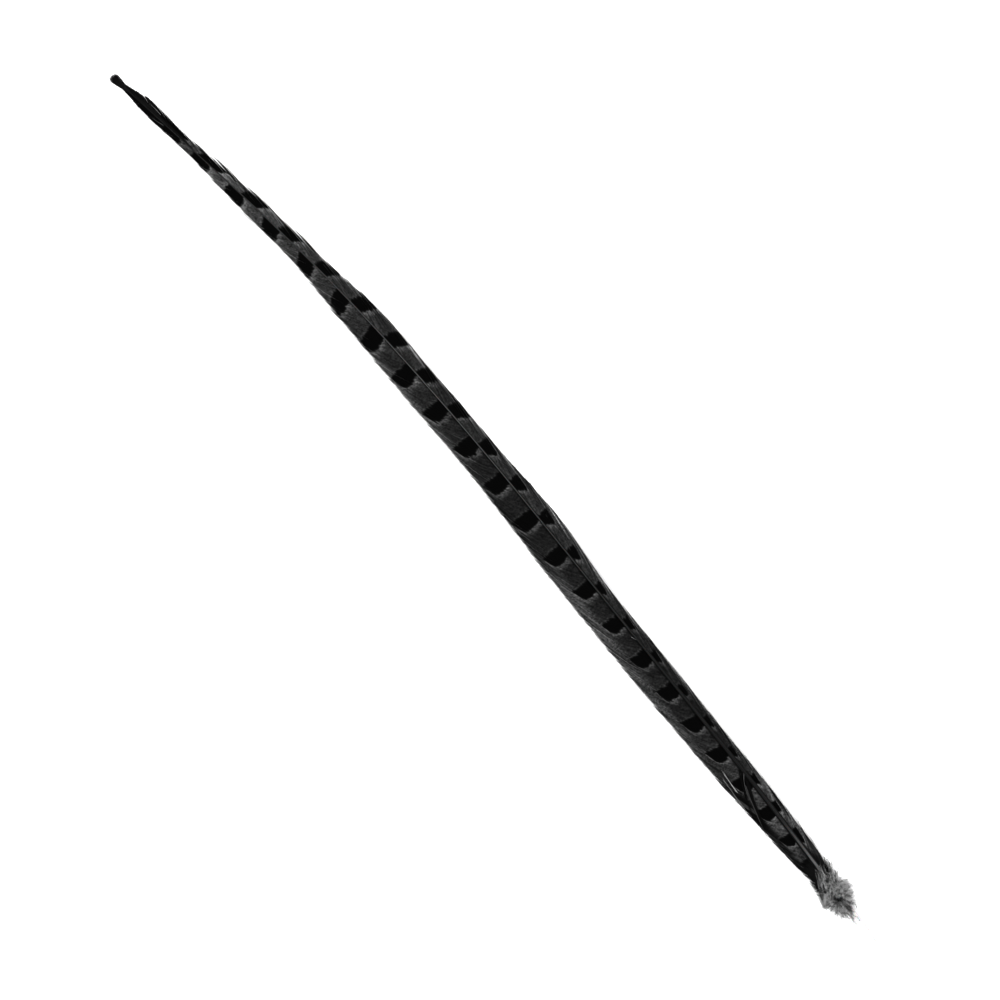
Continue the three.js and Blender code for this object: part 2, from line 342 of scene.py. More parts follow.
def make_barred_barbs():
    """Barbs of keratin with melanin laid down in bands as they grew: soft satin, near black bars on dark
    grey. Each barb took its pigment a little earlier or later than the next, so the bars are ragged."""
    finish, tree, shader = new_finish("barred_barb_keratin")
    keratin(shader, 0.62, 0.08)
    ragged = 0.035  # how far a barb's own bars lie from its neighbours', in bars
    blur = 0.018  # half of an edge's blur, in bars
    far_glow, near_glow = 0.22, 0.06  # how much paler the ground is past a bar's end, and before its start
    fact = {}
    for name in ("own", "count", "bar_from", "bar_to", "root", "run", "pale", "tone"):
        fact[name] = node(tree, "ShaderNodeAttribute", attribute_name=name).outputs["Fac"]

    count = {0: fact["own"], 1: ragged, 2: fact["count"]}
    count = node(tree, "ShaderNodeMath", count, operation="MULTIPLY_ADD")
    nearest = node(tree, "ShaderNodeMath", {0: count}, operation="ROUND")
    here = node(tree, "ShaderNodeMath", {0: count, 1: nearest}, operation="SUBTRACT")
    past_start = node(tree, "ShaderNodeMath", {0: here, 1: fact["bar_from"]}, operation="SUBTRACT")
    past_end = node(tree, "ShaderNodeMath", {0: here, 1: fact["bar_to"]}, operation="SUBTRACT")
    begun = node(tree, "ShaderNodeMapRange", {"Value": past_start, "From Min": -blur, "From Max": blur})
    ended = node(tree, "ShaderNodeMapRange", {"Value": past_end, "From Min": -blur, "From Max": blur})
    long = node(tree, "ShaderNodeMath", {0: fact["bar_to"], 1: fact["bar_from"]}, operation="SUBTRACT")
    real = {"Value": long, "From Min": 0.02, "From Max": 0.05}  # a bar that has shrunk is none
    real = node(tree, "ShaderNodeMapRange", real)
    within = node(tree, "ShaderNodeMath", {0: begun, 1: ended}, operation="SUBTRACT", use_clamp=True)
    bar = node(tree, "ShaderNodeMath", {0: within, 1: real}, operation="MULTIPLY")

    # the ground is palest where a bar has just ended, and again in a thin line where the next begins
    from_line = node(tree, "ShaderNodeMath", {0: past_start, 1: 0.03}, operation="ADD")
    from_line = node(tree, "ShaderNodeMath", {0: from_line}, operation="ABSOLUTE")
    far_rim = node(tree, "ShaderNodeMapRange", {"Value": past_end, "From Min": 0.16, "From Max": 0.0})
    far_rim = node(tree, "ShaderNodeMath", {0: far_rim, 1: ended}, operation="MULTIPLY")
    near_rim = node(tree, "ShaderNodeMapRange", {"Value": from_line, "From Min": 0.035, "From Max": 0.0})
    rims = node(tree, "ShaderNodeMath", {0: far_rim, 1: far_glow}, operation="MULTIPLY")
    rims = node(tree, "ShaderNodeMath", {0: near_rim, 1: near_glow, 2: rims}, operation="MULTIPLY_ADD")

    # streaks of tone along the barbs, a millimetre across them and 3 mm long, and finer mottling over them
    along = node(tree, "ShaderNodeCombineXYZ", {0: fact["root"], 1: fact["run"]})
    grain = node(tree, "ShaderNodeVectorMath", {0: along, 1: (0.8, 0.3, 1.0)}, operation="MULTIPLY")
    streaks = node(tree, "ShaderNodeTexNoise", {"Vector": grain, "Scale": 1.0, "Detail": 3.0})
    place = node(tree, "ShaderNodeTexCoord").outputs["Object"]
    mottle = node(tree, "ShaderNodeTexNoise", {"Vector": place, "Scale": 1100.0, "Detail": 1.0})
    mottle = node(tree, "ShaderNodeMath", {0: mottle, 1: 0.5}, operation="SUBTRACT")
    cloudy = node(tree, "ShaderNodeMath", {0: streaks, 1: 2.0}, operation="MULTIPLY")
    cloudy = node(tree, "ShaderNodeMath", {0: mottle, 1: 2.2, 2: cloudy}, operation="MULTIPLY_ADD")
    cloudy = node(tree, "ShaderNodeMath", {0: cloudy, 1: 0.2}, operation="MAXIMUM")
    pale = node(tree, "ShaderNodeMath", {0: rims, 1: real, 2: fact["pale"]}, operation="MULTIPLY_ADD")
    pale = node(tree, "ShaderNodeMath", {0: pale, 1: cloudy}, operation="MULTIPLY")
    pale = node(tree, "ShaderNodeMath", {0: pale, 1: fact["tone"]}, operation="MULTIPLY", use_clamp=True)
    ground = {SHARE: pale, FIRST: linear("0E0E0E"), SECOND: linear("B1B1B1")}
    ground = node(tree, "ShaderNodeMix", ground, data_type="RGBA").outputs[MIXED]
    colour = {SHARE: bar, FIRST: ground, SECOND: linear("0D0D0D")}
    colour = node(tree, "ShaderNodeMix", colour, data_type="RGBA").outputs[MIXED]
    tree.links.new(colour, shader.inputs["Base Color"])
    return finish


def make_loose_barbs():
    """Single barbs and worn locks away from the vane: the same keratin, unbarred, darker or paler by lock."""
    finish, tree, shader = new_finish("loose_barb_keratin")
    keratin(shader, 0.6, 0.12)
    tone = node(tree, "ShaderNodeAttribute", attribute_name="tone").outputs["Fac"]
    colour = {SHARE: tone, FIRST: linear("1A1A1A"), SECOND: linear("BEBEBE")}
    colour = node(tree, "ShaderNodeMix", colour, data_type="RGBA").outputs[MIXED]
    tree.links.new(colour, shader.inputs["Base Color"])
    return finish


def make_horn_shaft():
    """Solid horn, scraped smooth by preening: clear and almost white in the bare quill, filled with grey pith
    above it, and dark along the vanes. It is the glossiest part of the feather."""
    finish, tree, shader = new_finish("horn_quill")
    keratin(shader, 0.38, 0.25)
    shader.inputs["Subsurface Weight"].default_value = 0.15
    shader.inputs["Subsurface Scale"].default_value = 0.001
    station = node(tree, "ShaderNodeAttribute", attribute_name="station").outputs["Fac"]
    way = node(tree, "ShaderNodeMath", {0: station, 1: LENGTH}, operation="DIVIDE")
    ramp = node(tree, "ShaderNodeValToRGB", {"Fac": way})
    stops = [  # stations and the horn's colour there
        (0, "D8D8D8"), (22, "D4D4D4"), (34, "888888"), (57, "606060"), (75, "353535"), (95, "222222"),
        (170, "272727"), (337, "606060"), (470, "424242"), (530, "1D1D1D"),
    ]
    line = ramp.color_ramp
    while len(line.elements) < len(stops):
        line.elements.new(0.5)
    for element, (at, code) in zip(line.elements, stops):
        element.position = at / LENGTH
        element.color = linear(code)
    # fine lengthwise streaks of pith, 0.3 mm apart across the shaft and many millimetres long
    place = node(tree, "ShaderNodeTexCoord").outputs["Object"]
    drawn_out = node(tree, "ShaderNodeMapping", {"Vector": place, "Scale": (3300.0, 90.0, 3300.0)})
    shade = node(tree, "ShaderNodeTexNoise", {"Vector": drawn_out, "Scale": 1.0, "Detail": 1.0})
    shade = node(tree, "ShaderNodeMapRange", {"Value": shade, "To Min": 0.82, "To Max": 1.1})
    pithy = node(tree, "ShaderNodeVectorMath", {0: ramp, 1: shade}, operation="MULTIPLY")
    # the horn's sides are dark with barb bases and painted shade, and only its back is pale
    side = node(tree, "ShaderNodeAttribute", attribute_name="side").outputs["Fac"]
    barb_roots_and_side_shade = node(tree, "ShaderNodeMapRange", {"Value": side, "From Min": 0.25, "From Max": 0.55})
    colour = {SHARE: barb_roots_and_side_shade, FIRST: pithy, SECOND: linear("1C1C1C")}
    colour = node(tree, "ShaderNodeMix", colour, data_type="RGBA").outputs[MIXED]
    tree.links.new(colour, shader.inputs["Base Color"])
    return finish


def make_down():
    """Downy barbs without hooks: fine, dull and a little see-through, so the tuft looks pale and soft."""
    finish, tree, shader = new_finish("grey_down")
    keratin(shader, 0.8, 0.1)
    place = node(tree, "ShaderNodeTexCoord").outputs["Object"]
    # barbs of one wisp lie together and hide those below, so the tuft is patchy, about 2 mm to a patch
    patches = node(tree, "ShaderNodeTexNoise", {"Vector": place, "Scale": 520.0, "Detail": 2.0})
    patchy = {"Value": patches, "From Min": 0.35, "From Max": 0.65, "To Min": 0.5, "To Max": 1.6}
    patchy = node(tree, "ShaderNodeMapRange", patchy)
    tone = node(tree, "ShaderNodeAttribute", attribute_name="tone").outputs["Fac"]
    shade = node(tree, "ShaderNodeMath", {0: tone, 1: patchy}, operation="MULTIPLY", use_clamp=True)
    colour = {SHARE: shade, FIRST: linear("2D2D2D"), SECOND: linear("DADADA")}
    colour = node(tree, "ShaderNodeMix", colour, data_type="RGBA").outputs[MIXED]
    tree.links.new(colour, shader.inputs["Base Color"])
    return finish


BARRED = make_barred_barbs()
LOOSE = make_loose_barbs()
HORN = make_horn_shaft()
DOWN = make_down()


# ---- the horn shaft ----


def make_shaft():
    """The quill and shaft, with the small hole at the quill's end, and a groove below the vanes."""
    hole = [(2.6, 0.15), (0.5, 0.42), (0.05, 0.62)]  # stations and radii, from its floor outwards
    rim = [(0.0, 0.92), (0.25, 1.18)]
    point = [(543.0, 0.14), (544.0, 0.05)]
    even = [np.arange(3.5, 60, 1.5), np.arange(60, SHAFT_END, 3)]
    stations = np.concatenate([[0.7, 1.4, 2.3], *even, [SHAFT_END]])
    sections = hole + rim + [(s, float(shaft_radius(s))) for s in stations] + point
    sides = 16
    groove_deep, groove_wide = 0.45, 0.3  # as shares of the radius
    angle = (np.arange(sides) + 0.5) / sides * 2 * np.pi
    rings = []
    for station, radius in sections:
        right = radius * np.sin(angle)
        rise = -radius * np.cos(angle)
        axis = float(shaft_height(max(station, 0)))
        if station > GROOVE_START and radius > 0.2:
            below = -rise / radius > 0.5
            rise = rise + radius * groove_deep * np.exp(-((right / (groove_wide * radius)) ** 2)) * below
        rings.append(placed(np.full(sides, station), right, np.maximum(axis + rise, 0.0)))
    points = np.concatenate(rings)
    corner = np.arange(len(rings) * sides).reshape(-1, sides)
    onward = np.roll(corner, -1, axis=1)
    walls = np.stack([corner[:-1], onward[:-1], onward[1:], corner[1:]], -1).reshape(-1, 4).tolist()
    faces = walls + [corner[0, ::-1].tolist(), corner[-1].tolist()]
    stations = np.repeat([station for station, _ in sections], sides)
    barbed = np.clip((stations - BARE_QUILL) / (ALL_BARBED - BARE_QUILL), 0, 1)
    fading = np.clip(1.3 - stations / 500, 0, 1)  # the sides' dark barb bases and painted shade fade towards the tip
    # how far round to a side each point lies, for the barb bases and painted shade there
    side = np.tile(np.abs(np.sin(angle)), len(rings)) * barbed * fading
    return mesh_piece("horn_shaft", points, faces, HORN, {"station": stations, "side": side})


# ---- the vanes ----


def in_groups(count, least, most):
    """Random numbers of spread 1 for a row of barbs, each shared by a group of least to most neighbours."""
    sizes = chance.integers(least, most + 1, count)
    return np.repeat(chance.normal(0, 1, count), sizes)[:count]


def part_into_locks(roots, partings):
    """Divides a vane's barbs into locks 5 to 17 mm long. A parting is a station where two locks stand apart,
    and how much. Returns each barb's lock, its place in it from -1 to 1, its lock's middle, and how tightly
    that lock closes."""
    bounds = [roots[0] - 1]
    while bounds[-1] < roots[-1]:
        bounds.append(bounds[-1] + chance.uniform(5, 17))
    forced = [station for station, _ in partings]
    bounds = np.array(sorted([b for b in bounds if all(abs(b - f) > 4 for f in forced)] + forced))
    lock = np.clip(np.searchsorted(bounds, roots, side="right") - 1, 0, len(bounds) - 2)
    middle = (bounds[:-1] + bounds[1:]) / 2
    close = chance.uniform(0, 0.03, len(middle))
    for station, strength in partings:
        beside = np.searchsorted(bounds, station)
        close[[max(beside - 1, 0), min(beside, len(middle) - 1)]] = strength
    place = (roots - middle[lock]) / (np.diff(bounds)[lock] / 2)
    return lock, place, middle[lock], close[lock]


def make_vane(name, vane, pitch, steps, partings, bar_shape, closes_again):
    """All the firm barbs of one vane. Each is a blade that just meets its neighbours, so the web has no holes
    but the partings between locks, which may close again towards the edge."""
    inside = 0.03  # barbs begin this share of the way out, within the horn
    half_wide = 0.66 * pitch
    half_thick = 0.075
    roots = np.arange(VANE_START, SHAFT_END, pitch)
    roots = roots + chance.uniform(-0.12, 0.12, len(roots)) * pitch
    lock, place, middle, close = part_into_locks(roots, partings)
    locks = lock.max() + 1
    ends = roots + vane.sweep(roots)
    tooth = vane.tooth(ends)
    reach = 1 + 0.45 * tooth * place
    reach = reach + chance.normal(0, 0.01, locks)[lock] + 0.014 * in_groups(len(roots), 1, 4)
    along = np.linspace(0, 1, steps) ** 0.9
    share = inside + (reach[:, None] - inside) * along[None]

    opening = 6.5 * share**3 * np.maximum(1 - share, 0) if closes_again else share**1.7
    drawn = roots[:, None] + (middle - roots)[:, None] * close[:, None] * opening
    drawn = drawn + chance.normal(0, 0.1, (len(roots), 1)) * pitch * share
    taper = 1 - 0.6 * np.clip((along - 0.88) / 0.12, 0, 1) ** 1.5
    half = half_wide * taper[None] * (1 - 0.25 * close[:, None] * share)
    centre = vane.points(drawn, share)
    right_edge = vane.points(drawn - vane.side * half, share)
    left_edge = vane.points(drawn + vane.side * half, share)

    # a lock is tilted like a shingle, so that its tip-side barbs ride over the next one's
    ridge = unit(np.cross(right_edge - left_edge, np.gradient(centre, axis=1)))
    tilt = (0.09 * place + chance.normal(0, 0.035, locks)[lock])[:, None] * share
    tilt = tilt + chance.normal(0, 0.012, (len(roots), 1)) * share
    shift = ridge * tilt[..., None]
    centre, right_edge, left_edge = centre + shift, right_edge + shift, left_edge + shift
    thick = np.broadcast_to(half_thick * (1 - 0.6 * along), centre.shape[:2])
    points, faces = blades(centre, right_edge, left_edge, thick)
    points[:, 2] = np.maximum(points[:, 2], 0.02)  # clear of the table

    station, right, _ = vane.place(drawn, share)
    out = np.abs(right) / vane.full_width(station)
    count, start, end = markings(vane, station, out, bar_shape)
    edge = np.clip((out - vane.fringe_from(station)) / 0.25, 0, 1)
    pale = vane.ground(station) * (1 - edge) + vane.fringe(station) * edge
    pale = pale * (0.55 + 0.45 * np.clip(out / 0.08, 0, 1))  # painted shade: a dark seam in the crease beside the shaft
    pale = pale * (1 - 0.35 * np.clip((out - 0.9) / 0.1, 0, 1))  # and thin, darker barb ends
    # uneven tone from barb to barb, from bundle to bundle and from lock to lock, and more at the edge
    rough = 0.11 * in_groups(len(roots), 1, 2)
    rough = rough + 0.1 * in_groups(len(roots), 2, 6)
    rough = rough + 0.08 * in_groups(len(roots), 9, 20)
    frayed = vane.fray * in_groups(len(roots), 2, 7)
    tone = np.exp(rough[:, None] + edge * frayed[:, None])
    own = 0.3 * in_groups(len(roots), 1, 2) + 0.35 * in_groups(len(roots), 2, 5)
    facts = dict(
        count=count, bar_from=start, bar_to=end, pale=pale, tone=tone, run=share * vane.width(station),
        own=np.broadcast_to(own[:, None], share.shape), root=np.broadcast_to(roots[:, None], share.shape),
    )
    return mesh_piece(name, points, faces, BARRED, {key: per_corner(value) for key, value in facts.items()})


def markings(vane, station, out, bar_shape):
    """The bar count at points of a vane, and where in each count the bar begins and ends, within half a count
    of its middle."""
    long = vane.bar(station)
    start = -long / 2 + vane.slant(station) * out**2
    shape = bar_shape((out / vane.reach(station)) ** vane.blunt(station))
    end = -long / 2 + 0.3 * np.maximum(vane.slant(station), 0) * out + long * shape
    end = start + (end - start) * np.clip(shape / 0.2, 0, 1)
    end = np.where(station > PLAIN_TIP, start, end)
    return vane.count(station), start, end


# ---- barbs away from the web ----


HAIR_STEPS = 12


def curved(start, bend, end, steps):
    """Points along curves, each drawn from start to end and pulled towards bend."""
    t = np.linspace(0, 1, steps)[None, :, None]
    return start[:, None] * (1 - t) ** 2 + 2 * bend[:, None] * t * (1 - t) + end[:, None] * t**2


def hair_blades(spine, wide, thick=0.05):
    """Thin blades along spines, full width at the root and pointed at the tip."""
    along = np.gradient(spine, axis=1)
    flat = unit(np.cross(along, [0.0, 0.0, 1.0]))
    taper = 1 - 0.9 * np.linspace(0, 1, spine.shape[1]) ** 1.6
    reach = flat * (np.asarray(wide).reshape(-1, 1) * taper[None])[..., None]
    return blades(spine, spine + reach, spine - reach, np.broadcast_to(thick * taper, spine.shape[:2]))


def make_loose_locks():
    """Locks that have come away from the vanes' edges: each is a pointed bundle of barbs."""
    loose = [  # vane, root, tip, distance out at the tip, tone
        (NARROW, 489, 501.5, 3.1, 0.02), (NARROW, 473, 490, 4.4, 0.05), (NARROW, 449, 467.5, 4.7, 0.03),
        (NARROW, 416, 438, 5.4, 0.05), (BROAD, 379, 400, 9.2, 0.06), (BROAD, 84, 112, 12.4, 0.1),
    ]
    barbs = 17
    spread = np.linspace(-1, 1, barbs)
    spines, tones = [], []
    for vane, root, tip, out, tone in loose:
        height = vane.edge(tip) + 0.35
        start = vane.side * (vane.width(root) * 0.72 - 0.3 * spread)
        begin = placed(root + spread * 1.2, start, vane.edge(root) + 0.7)
        middle = (root + tip) / 2 + spread * 0.8
        bend = placed(middle, vane.side * (out - 0.26 * spread), height + 0.05 * spread)
        end = placed(tip - np.abs(spread) * 2.2, vane.side * (out - 0.07 * spread), height + 0.02 * spread)
        spines.append(curved(begin, bend, end, HAIR_STEPS))
        tones.append(tone * chance.uniform(0.5, 1.7, barbs))
    spines = np.concatenate(spines)
    points, faces = hair_blades(spines, 0.15)
    tone = np.broadcast_to(np.concatenate(tones)[:, None], spines.shape[:2])
    return mesh_piece("loose_locks", points, faces, LOOSE, {"tone": per_corner(tone)})


def make_tip_brush():
    """The last barbs, worn and stuck together in a blunt brush that stands round the shaft's end."""
    barbs, steps = 240, 10
    neck, middle = 543.5, 545.3  # the stations where the brush begins to spread and where its barbs bend
    long, half_wide = 6.4, 2.4
    spread = chance.uniform(-1, 1, barbs)
    worn = chance.uniform(0, 1, barbs)
    full = np.where(worn < 0.6, chance.uniform(0.93, 1.02, barbs), chance.uniform(0.6, 0.95, barbs))
    root = chance.uniform(537, 543.2, barbs)
    end = neck + (long - 1.8 * np.abs(spread) ** 4) * full
    out = -0.25 + half_wide * spread * (0.4 + 0.6 * full)
    low = 0.35 + chance.uniform(0, 0.5, barbs)
    spines = curved(
        placed(root, 0.5 * spread, shaft_height(root) - 0.1),
        placed(middle + 0 * root, -0.1 + half_wide / 2 * spread, low + 0.3),
        placed(end, out, low),
        steps,
    )
    points, faces = hair_blades(spines, 0.12)
    tone = np.broadcast_to(chance.uniform(0.0, 0.035, (barbs, 1)), (barbs, steps))
    return mesh_piece("tip_brush", points, faces, LOOSE, {"tone": per_corner(tone)})


def make_strays():
    """Single barbs out of place: a twist of them lies across the broad vane, limp ones lie round the down,
    and others fray at both edges."""
    rows = []

    def stray(count, begin, bend, end, tone, scatter=0.25, lift=0.45, wide=0.085):
        """Barbs through three places, each a station and a distance right of the shaft, at a lift above the
        vane there."""
        ends = []
        for station, right in (begin, bend, end):
            vane = BROAD if right < 0 else NARROW
            out = np.clip(abs(right) / vane.width(station), 0, 1)
            height = shaft_height(station) * (1 - out**2) + vane.edge(station) * out**2 + lift
            stations = station + chance.normal(0, scatter * 2, count)
            rights = right + chance.normal(0, scatter, count)
            ends.append(placed(stations, rights, np.full(count, height) + chance.uniform(0, 0.2, count)))
        for spine in curved(*ends, HAIR_STEPS):
            rows.append((spine, tone * chance.uniform(0.6, 1.5), wide * chance.uniform(0.7, 1.3)))

    twist = [  # barbs, three places, tone, scatter, lift, half width
        (16, (102.2, 0), (94, -5.4), (76, -8.6), 0.0, 0.5, 0.6, 0.17),
        (5, (103.4, -0.6), (97.4, -5.6), (90, -6.4), 0.2, 0.1, 0.8, 0.1),
        (9, (98, -3.6), (90, -6.6), (73, -10.4), 0.13, 0.22, 0.85, 0.12),
        (9, (104.8, -0.4), (99, -6.2), (84, -9.8), 0.0, 0.35, 0.6, 0.15),
    ]
    pale_bundles = [  # beside the twist, and one nearer the foot
        (9, (98, -8.6), (104, -8.5), (110.5, -7.9), 0.6, 0.16, 0.55, 0.17),
        (9, (109, -8.0), (106, -8.4), (101, -8.6), 0.6, 0.14, 0.55, 0.15),
        (9, (89, -10.8), (98, -10.7), (108, -9.8), 0.36, 0.14, 0.55, 0.14),
        (5, (107, -10.0), (103, -10.3), (96, -10.6), 0.45, 0.1, 0.55, 0.12),
        (4, (56, -7.6), (63, -8.5), (72, -9.1), 0.25, 0.12, 0.5, 0.1),
    ]
    near_tip = [  # barbs, three places, tone, scatter, lift
        (3, (466, 2.6), (476, 4.6), (482, 4.9), 0.06),
        (3, (448, -4.4), (456, -6.2), (463, -6.3), 0.3, 0.12),
        (2, (520, 2.0), (524, 2.5), (528, 2.4), 0.9, 0.06, 0.5),
        (6, (516, -1.0), (520, -1.7), (524, -1.9), 0.22, 0.2, 0.4),
    ]
    for bundle in twist + pale_bundles:
        stray(*bundle)
    for station in chance.uniform(497, 529, 80):  # the narrow vane's last barbs, stuck down along the shaft
        out = float(NARROW.width(station + 12)) * chance.uniform(0.3, 0.88)
        stray(1, (station, 0.2), (station + 5, 0.8 * out), (station + 12, out), 0.02, 0.1, 0.1, 0.16)
    for bundle in near_tip:
        stray(*bundle)
    for station in chance.uniform(31, 43, 430):  # limp barbs between the vanes' foot and the down
        side = chance.choice([-1, -1, -1, 1])
        far = station + chance.uniform(7, 13)
        out = side * chance.uniform(1.5, 7.8 if side < 0 else 5)
        stray(1, (station, 0.8 * side), (station + 3, 0.6 * out), (far, out), 0.02, 0.2, 0.2, 0.15)
    for station in chance.uniform(27, 36, 170):  # and more of them below the down, on the broad side
        far = station + chance.uniform(4, 9)
        out = -chance.uniform(4.5, 8.6)
        stray(1, (station, -1.0), (station + 3, -4.6), (far, out), 0.015, 0.2, -1.3, 0.16)
    for station in chance.uniform(32, 43, 60):  # and a few in paler shades that lie over them
        side = chance.choice([-1, 1])
        out = side * chance.uniform(1.4, 6.5 if side < 0 else 4.2)
        shade = chance.uniform(0, 0.075)
        bend = (station + 6, 0.62 * out)
        stray(1, (station, 0.7 * side), bend, (station + 15, out), shade, 0.2, 0.12, 0.11)
    stray(2, (187, -1.6), (185.5, -0.9), (184, -0.2), 0.5, 0.1, 0.5)
    for station in chance.uniform(58, 78, 12):  # fraying at the narrow vane's foot
        end = (station, 5.6 + chance.uniform(-0.5, 0.7))
        stray(1, (station - 16, 2.0), (station - 6, 4.8), end, 0.12, lift=0.2)
    for station in chance.uniform(62, 118, 16):  # and along the broad vane's edge there
        out = float(BROAD.width(station))
        stray(1, (station - 18, -0.7 * out), (station - 8, -out), (station, -out - 0.25), 0.1, lift=0.1)
    for station in chance.uniform(180, 330, 26):  # long barbs nearly in line with it, at the narrow edge
        out = float(NARROW.width(station))
        begin, bend = (station - 26, 0.55 * out), (station - 10, 0.95 * out)
        stray(1, begin, bend, (station, out + 0.15), 0.12, 0.1, 0.05)
    spines, tones, widths = (np.array(column) for column in zip(*rows))
    spines[..., 2] = np.maximum(spines[..., 2], 0.1)  # clear of the table
    points, faces = hair_blades(spines, widths, 0.04)
    tone = np.broadcast_to(tones[:, None], spines.shape[:2])
    return mesh_piece("stray_barbs", points, faces, LOOSE, {"tone": per_corner(tone)})


# ---- the downy tuft ----


def grow_down_tree():
    """Geometry Nodes that turn bare threads into down: each thread gets its thickness, and barbules all
    round. The sizes are in metres."""
    tree = bpy.data.node_groups.new("downy_threads", "GeometryNodeTree")
    sizes = {"Spacing": 0.0001, "Length": 0.0011, "Barbule Radius": 4.5e-05, "Thread Radius": 6e-05}
    face = tree.interface
    face.new_socket("Threads", in_out="INPUT", socket_type="NodeSocketGeometry")
    for name, value in sizes.items():
        face.new_socket(name, in_out="INPUT", socket_type="NodeSocketFloat").default_value = value
    face.new_socket("Seed", in_out="INPUT", socket_type="NodeSocketInt")
    face.new_socket("Finish", in_out="INPUT", socket_type="NodeSocketMaterial")
    face.new_socket("Down", in_out="OUTPUT", socket_type="NodeSocketGeometry")
    given = node(tree, "NodeGroupInput").outputs

    lines = node(tree, "GeometryNodeMeshToCurve", {"Mesh": given["Threads"]})
    kept = node(tree, "GeometryNodeCaptureAttribute", {"Geometry": lines}, domain="POINT")
    kept.capture_items.new("FLOAT", "way")
    tree.links.new(node(tree, "GeometryNodeSplineParameter").outputs["Factor"], kept.inputs[1])
    lines, way = kept.outputs[0], kept.outputs[1]

    thinning = node(tree, "ShaderNodeMapRange", {"Value": way, "To Min": 1.0, "To Max": 0.25})
    thread = node(tree, "ShaderNodeMath", {0: thinning, 1: given["Thread Radius"]}, operation="MULTIPLY")
    ring = node(tree, "GeometryNodeCurvePrimitiveCircle", {"Resolution": 3, "Radius": 1.0})
    tube = {"Curve": lines, "Profile Curve": ring, "Scale": thread, "Fill Caps": True}
    threads = node(tree, "GeometryNodeCurveToMesh", tube)

    spaced = {"Curve": lines, "Length": given["Spacing"]}
    spots = node(tree, "GeometryNodeCurveToPoints", spaced, mode="LENGTH")
    any_way = {0: (-1.0, -1.0, -1.0), 1: (1.0, 1.0, 1.0), "Seed": given["Seed"]}
    any_way = node(tree, "FunctionNodeRandomValue", any_way, data_type="FLOAT_VECTOR")
    tangent = spots.outputs["Tangent"]
    across = node(tree, "ShaderNodeVectorMath", {0: tangent, 1: any_way}, operation="CROSS_PRODUCT")
    across = node(tree, "ShaderNodeVectorMath", {0: across}, operation="NORMALIZE")
    ahead = node(tree, "ShaderNodeVectorMath", {0: tangent, "Scale": 0.7}, operation="SCALE")
    heading = node(tree, "ShaderNodeVectorMath", {0: across, 1: ahead}, operation="ADD")
    turned = node(tree, "FunctionNodeAlignRotationToVector", {"Vector": heading}, axis="Z")
    cone = {"Vertices": 3, "Side Segments": 1, "Radius Top": 0.0, "Radius Bottom": 1.0, "Depth": 1.0}
    spike = node(tree, "GeometryNodeMeshCone", cone)
    uneven = {2: 0.55, 3: 1.15, "Seed": given["Seed"]}  # its least and most
    uneven = node(tree, "FunctionNodeRandomValue", uneven, data_type="FLOAT").outputs[1]
    shorter = node(tree, "ShaderNodeMapRange", {"Value": way, "To Min": 1.0, "To Max": 0.5})
    long = node(tree, "ShaderNodeMath", {0: uneven, 1: shorter}, operation="MULTIPLY")
    long = node(tree, "ShaderNodeMath", {0: long, 1: given["Length"]}, operation="MULTIPLY")
    wide = given["Barbule Radius"]
    size = node(tree, "ShaderNodeCombineXYZ", {0: wide, 1: wide, 2: long})
    shaped = {"Points": spots.outputs["Points"], "Instance": spike, "Rotation": turned, "Scale": size}
    barbules = node(tree, "GeometryNodeInstanceOnPoints", shaped)
    realized = node(tree, "GeometryNodeRealizeInstances", {"Geometry": barbules})
    joined = node(tree, "GeometryNodeJoinGeometry")
    tree.links.new(threads.outputs[0], joined.inputs[0])
    tree.links.new(realized.outputs[0], joined.inputs[0])
    finished = node(tree, "GeometryNodeSetMaterial", {"Geometry": joined, "Material": given["Finish"]})
    smooth = node(tree, "GeometryNodeSetShadeSmooth", {"Geometry": finished})
    node(tree, "NodeGroupOutput", {0: smooth})
    return tree


DOWN_STEPS = 12
DOWN_FOOT = placed(29.0, -1.5, 0.0)  # the middle of the place on the shaft that the down springs from
FOOT_SHADE_REACH = 3.6  # how far from there painted shade darkens the threads
DOWN_LOW, DOWN_HIGH = 1.1, 5.8  # no thread's spine lies below the one or above the other
DOWN_SHADE = 1.75  # what all wisps' tones are multiplied by
DOWN_SCATTER = 0.475


